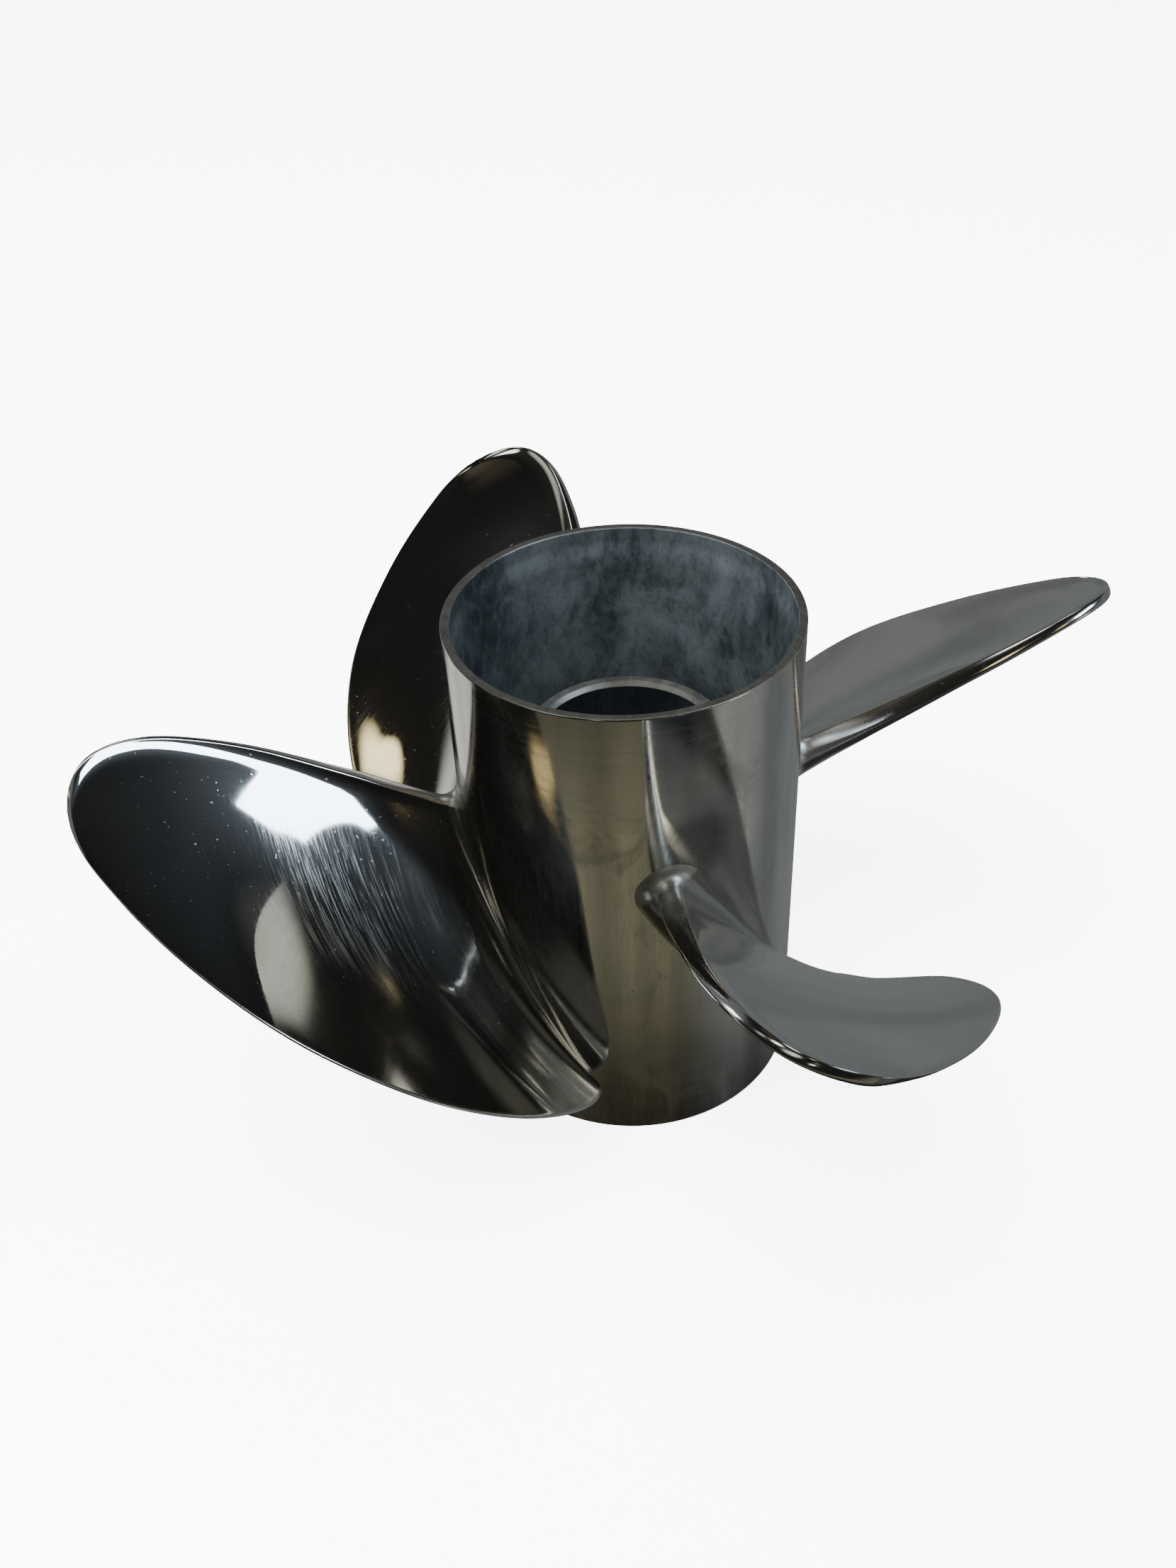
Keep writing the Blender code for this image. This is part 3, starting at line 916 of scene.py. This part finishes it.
def cap(loop, first, radius, vertices, faces, flip):
    """Close an end section with strips from face to back, bent on the cylinder."""
    half = len(loop) // 2
    rows = [[first]]
    for i in range(1, half):
        other = len(loop) - i
        row = [first + i]
        for strip in range(1, CAP_STRIPS):
            share = strip / CAP_STRIPS
            around = loop[i][0] + (loop[other][0] - loop[i][0]) * share
            height = loop[i][1] + (loop[other][1] - loop[i][1]) * share
            row.append(len(vertices))
            vertices.append(wrapped(around, height, radius))
        rows.append(row + [first + other])
    rows.append([first + half])
    for low, high in zip(rows, rows[1:]):
        for strip in range(CAP_STRIPS):
            a, b = low[min(strip, len(low) - 1)], low[min(strip + 1, len(low) - 1)]
            d, c = high[min(strip, len(high) - 1)], high[min(strip + 1, len(high) - 1)]
            corners = list(dict.fromkeys((a, b, c, d) if flip else (d, c, b, a)))
            faces.append(tuple(corners))


def add_marks(mesh, places, rings):
    """Where each point lies on the blade, for the finish to read."""
    marks = {name: mesh.attributes.new(name, "FLOAT", "POINT") for name in BLADE_MARKS}
    count = len(places) // len(rings)
    for i, (_, _, share, side) in enumerate(places):
        height = rings[i // count] - BARREL_RADIUS
        marks["chord_share"].data[i].value = share
        marks["root_blend"].data[i].value = min(max(1 - height / ROOT_GRIND_AND_SHADE, 0.0), 1.0)**1.5
        marks["trailing_land"].data[i].value = 1.0 if 0.02 < side < 0.98 else 0.0


def blade_mesh(name):
    """Rings of sections joined into one closed blade, with its outline at the root kept sharp."""
    vertices, faces, loops = [], [], []
    rings = section_radii()
    for radius in rings:
        loop = grown(section_outline(radius), radius)
        loops.append(loop)
        vertices.extend(wrapped(place[0], place[1], radius) for place in loop)
    count = len(loops[0])
    for ring in range(len(rings) - 1):
        low, high = ring * count, (ring + 1) * count
        for i in range(count):
            j = (i + 1) % count
            faces.append((low + i, low + j, high + j, high + i))
    cap(loops[0], 0, rings[0], vertices, faces, True)
    cap(loops[-1], (len(rings) - 1) * count, rings[-1], vertices, faces, False)
    mesh = bpy.data.meshes.new(name)
    mesh.from_pydata(vertices, [], faces)
    turn_outward(mesh)
    add_marks(mesh, [place for loop in loops for place in loop], rings)
    sharp = mesh.attributes.new("sharp_edge", "BOOLEAN", "EDGE")
    for edge in mesh.edges:
        first, second = edge.vertices
        if first < count and second < count:
            sharp.data[edge.index].value = True
    return mesh


blades = made_by_tree("polished_blades", blade_mesh("one_blade"), spaced_round, {
    "Count": BLADES, "Finish": polished_blade})
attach(blades, "root")
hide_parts(*[f"blade_{number}" for number in range(1, BLADES + 1)])

# %% [markdown]
# ## Floor, light and surroundings
# Polished steel shows its surroundings more than itself. The real room isn't known, so this one is made up
# to give reflections like those in the photograph: dark overhead, grey in front and on the right, and
# olive-brown underfoot near the camera. These are a gentle gradient in the world's shader. Lamps, small
# windows and pale walls are soft round patches added to it, and the two large windows are area lights.
# Azimuth 0 looks away from the camera, 90 to its right.

# %% The room
CEILING = (0.012, 0.012, 0.012)
RIGHT_CEILING = (0.012, 0.017, 0.023)
DARK_ROOM = (0.018, 0.018, 0.017)
FAR_WALL = (0.195, 0.205, 0.20)
NEAR_FLOOR = (0.230, 0.217, 0.145)
FAR_FLOOR = (0.190, 0.205, 0.205)
PAINTED_FLOOR_SHADOW = 0.14
CLUTTER = (0.80, 1.20)
BACKDROP = 8.0
SOFT_PATCHES = (
    # name, azimuth, elevation, full inside, nothing outside, colour
    ("bright floor", 309, -35, 8, 20, (0.66, 0.65, 0.60)),
    ("left wall", 284, 31, 1, 7, (0.80, 0.78, 0.70)),
    ("rear left wall", 232, 37, 4, 16, (1.20, 1.25, 1.12)),
    ("warm lamp", 138, 52.5, 3, 6.5, (1.55, 1.20, 0.56)),
    ("right floor", 106, -34, 8, 24, (0.13, 0.13, 0.12)),
    ("small warm lamp", 190, 23, 1, 3.5, (0.80, 0.66, 0.38)),
    ("rear window", 186.5, 61.5, 2.5, 6, (4.20, 3.50, 1.90)),
    ("doorway", 114, 1, 4, 9, (2.60, 2.50, 2.00)),
    ("rear corner", 150, 8, 6, 18, (0.09, 0.09, 0.075)),
    ("low front lamp", 197, 9, 1, 5, (3.00, 2.90, 2.50)),
    ("high left window", 269, 46, 3, 8, (4.50, 4.50, 4.20)),
    ("skylight", 326, 74, 3, 9, (4.00, 4.00, 3.80)),
    ("far skylight", 6, 60, 3, 9, (3.00, 2.90, 2.60)),
    ("brown shelf", 318, 52, 4, 12, (0.11, 0.09, 0.055)),
    ("upper right wall", 64, 32, 3, 13, (0.09, 0.09, 0.08)),
)


def direction(azimuth, elevation):
    """The unit vector for an azimuth and an elevation in degrees."""
    flat = cos(radians(elevation))
    return Vector((flat * sin(radians(azimuth)), flat * cos(radians(azimuth)), sin(radians(elevation))))


def height_of(elevation):
    """The upward part of the unit vector for an elevation in degrees."""
    return sin(radians(elevation))


def scaled_colour(tree, colour, factor):
    """A colour times a number."""
    return add_node(tree, "ShaderNodeVectorMath", {0: colour, "Scale": factor}, operation="SCALE").outputs[0]


def added(tree, first, second):
    return add_node(tree, "ShaderNodeVectorMath", {0: first, 1: second}, operation="ADD").outputs[0]


def add_room():
    """What the steel reflects; the camera itself sees only a white backdrop."""
    world = bpy.data.worlds.new("studio")
    world.use_nodes = True
    bpy.context.scene.world = world
    tree = world.node_tree
    tree.nodes.clear()
    where = add_node(tree, "ShaderNodeTexCoord").outputs["Generated"]
    parts = add_node(tree, "ShaderNodeSeparateXYZ", {"Vector": where})
    up, ahead, right = parts.outputs["Z"], parts.outputs["Y"], parts.outputs["X"]
    facing = times_plus(tree, right, 0.6, ahead)
    near = tint(tree, spread(tree, up, height_of(-44), height_of(-28)), NEAR_FLOOR, DARK_ROOM)
    floor_colour = tint(tree, spread(tree, facing, -0.55, 0.15), near, FAR_FLOOR)
    wall = tint(tree, spread(tree, facing, -0.10, 0.35), DARK_ROOM, FAR_WALL)
    upper = tint(tree, spread(tree, up, 0.42, 0.53), wall, CEILING)
    colour = tint(tree, spread(tree, up, -0.10, 0.02), floor_colour, upper)
    overhead_right = times(tree, spread(tree, right, 0.3, 0.9), spread(tree, up, 0.60, 0.80))
    colour = added(tree, colour, scaled_colour(tree, RIGHT_CEILING, overhead_right))
    for _, azimuth, elevation, inside, outside, patch in SOFT_PATCHES:
        toward = add_node(tree, "ShaderNodeVectorMath", {0: where, 1: direction(azimuth, elevation)},
                          operation="DOT_PRODUCT").outputs["Value"]
        share = spread(tree, toward, cos(radians(outside)), cos(radians(inside)))
        colour = added(tree, colour, scaled_colour(tree, patch, share))
    # Painted shadow: steeply downward directions are darkened, standing in for the propeller's shadow on the
    # floor.
    colour = scaled_colour(tree, colour, spread(tree, up, height_of(-51), height_of(-43.5), PAINTED_FLOOR_SHADOW, 1.0))
    noise = add_node(tree, "ShaderNodeTexNoise", {"Vector": where, "Scale": 3.0, "Detail": 3.0})
    colour = scaled_colour(tree, colour, spread(tree, noise.outputs["Fac"], 0.30, 0.70, *CLUTTER))
    seen = add_node(tree, "ShaderNodeLightPath").outputs["Is Camera Ray"]
    room = add_node(tree, "ShaderNodeBackground", {"Color": colour})
    pale = add_node(tree, "ShaderNodeBackground", {"Color": (1.0, 1.0, 1.0, 1.0), "Strength": BACKDROP})
    both = add_node(tree, "ShaderNodeMixShader", {0: seen, 1: room, 2: pale})
    add_node(tree, "ShaderNodeOutputWorld", {"Surface": both})


add_room()
print(len(SOFT_PATCHES), "soft patches in the room")

# %% [markdown]
# Each large window is a soft box: a rectangular light far enough away to look the same from every part of the
# propeller, and sized by the angles that it covers. The camera doesn't see it.

# %% Windows
WINDOW_DISTANCE = 20.0
ROOM_LIGHTS = (
    # name, azimuth, elevation, tilt, half width, half height, colour, strength
    ("right_window", 99.5, 51, -12, 11, 6.5, (0.74, 0.88, 1.00), 16.0),
    ("left_window", 307, 11, 20, 6, 5, (1.00, 1.00, 0.95), 6.0),
)


def add_window(name, azimuth, elevation, tilt, half_width, half_height, colour, strength):
    """A soft box facing the propeller; its two half sizes are in degrees."""
    lamp = bpy.data.lights.new(name, "AREA")
    lamp.shape = "RECTANGLE"
    lamp.size = 2 * WINDOW_DISTANCE * tan(radians(half_width))
    lamp.size_y = 2 * WINDOW_DISTANCE * tan(radians(half_height))
    lamp.color = colour
    lamp.energy = strength * pi * lamp.size * lamp.size_y
    light = bpy.data.objects.new(name, lamp)
    middle = direction(azimuth, elevation)
    level = Vector((cos(radians(azimuth)), -sin(radians(azimuth)), 0.0))
    turned = Matrix.Rotation(radians(tilt), 3, middle)
    across = turned @ level
    frame_of_light = Matrix((across, middle.cross(across), middle)).transposed()
    light.matrix_world = Matrix.Translation(middle * WINDOW_DISTANCE) @ frame_of_light.to_4x4()
    light.visible_camera = False
    put(light)
    return light


windows = [add_window(*row) for row in ROOM_LIGHTS]
print(len(windows), "windows in the room")

# %% [markdown]
# The floor glows white and even, as in a cut-out picture, and the steel doesn't reflect it. The soft light
# overhead brightens only the matt surfaces.

# %% Floor and the soft light over it
FLOOR_HALF_SIDE = 8.0
FLOOR_HEIGHT = -0.0003
FLOOR_GREY = 0.88
FLOOR_GLOW = 6.0
OVERHEAD_PLACE = (-0.9, -1.1, 3.1)
OVERHEAD_SIZE = 4.0
OVERHEAD_POWER = 700.0


def add_floor():
    mesh = bpy.data.meshes.new("studio_floor")
    sides = ((-1, -1), (1, -1), (1, 1), (-1, 1))
    corners = [(x * FLOOR_HALF_SIDE, y * FLOOR_HALF_SIDE, FLOOR_HEIGHT) for x, y in sides]
    mesh.from_pydata(corners, [], [(0, 1, 2, 3)])
    floor = bpy.data.objects.new("studio_floor", mesh)
    material = bpy.data.materials.new("pale_floor")
    material.use_nodes = True
    shader = material.node_tree.nodes["Principled BSDF"]
    shader.inputs["Base Color"].default_value = (FLOOR_GREY, FLOOR_GREY, FLOOR_GREY, 1.0)
    shader.inputs["Roughness"].default_value = 1.0
    shader.inputs["Specular IOR Level"].default_value = 0.0
    shader.inputs["Emission Color"].default_value = (1.0, 1.0, 1.0, 1.0)
    shader.inputs["Emission Strength"].default_value = FLOOR_GLOW
    mesh.materials.append(material)
    put(floor)
    floor.visible_glossy = False
    floor.visible_diffuse = False


def add_overhead_light():
    lamp = bpy.data.lights.new("overhead_softbox", "AREA")
    lamp.shape = "DISK"
    lamp.size = OVERHEAD_SIZE
    lamp.energy = OVERHEAD_POWER
    light = bpy.data.objects.new("overhead_softbox", lamp)
    light.location = OVERHEAD_PLACE
    put(light)
    light.visible_glossy = False
    light.visible_camera = False


add_floor()
add_overhead_light()
print("floor at", FLOOR_HEIGHT, "and soft light at", OVERHEAD_PLACE)
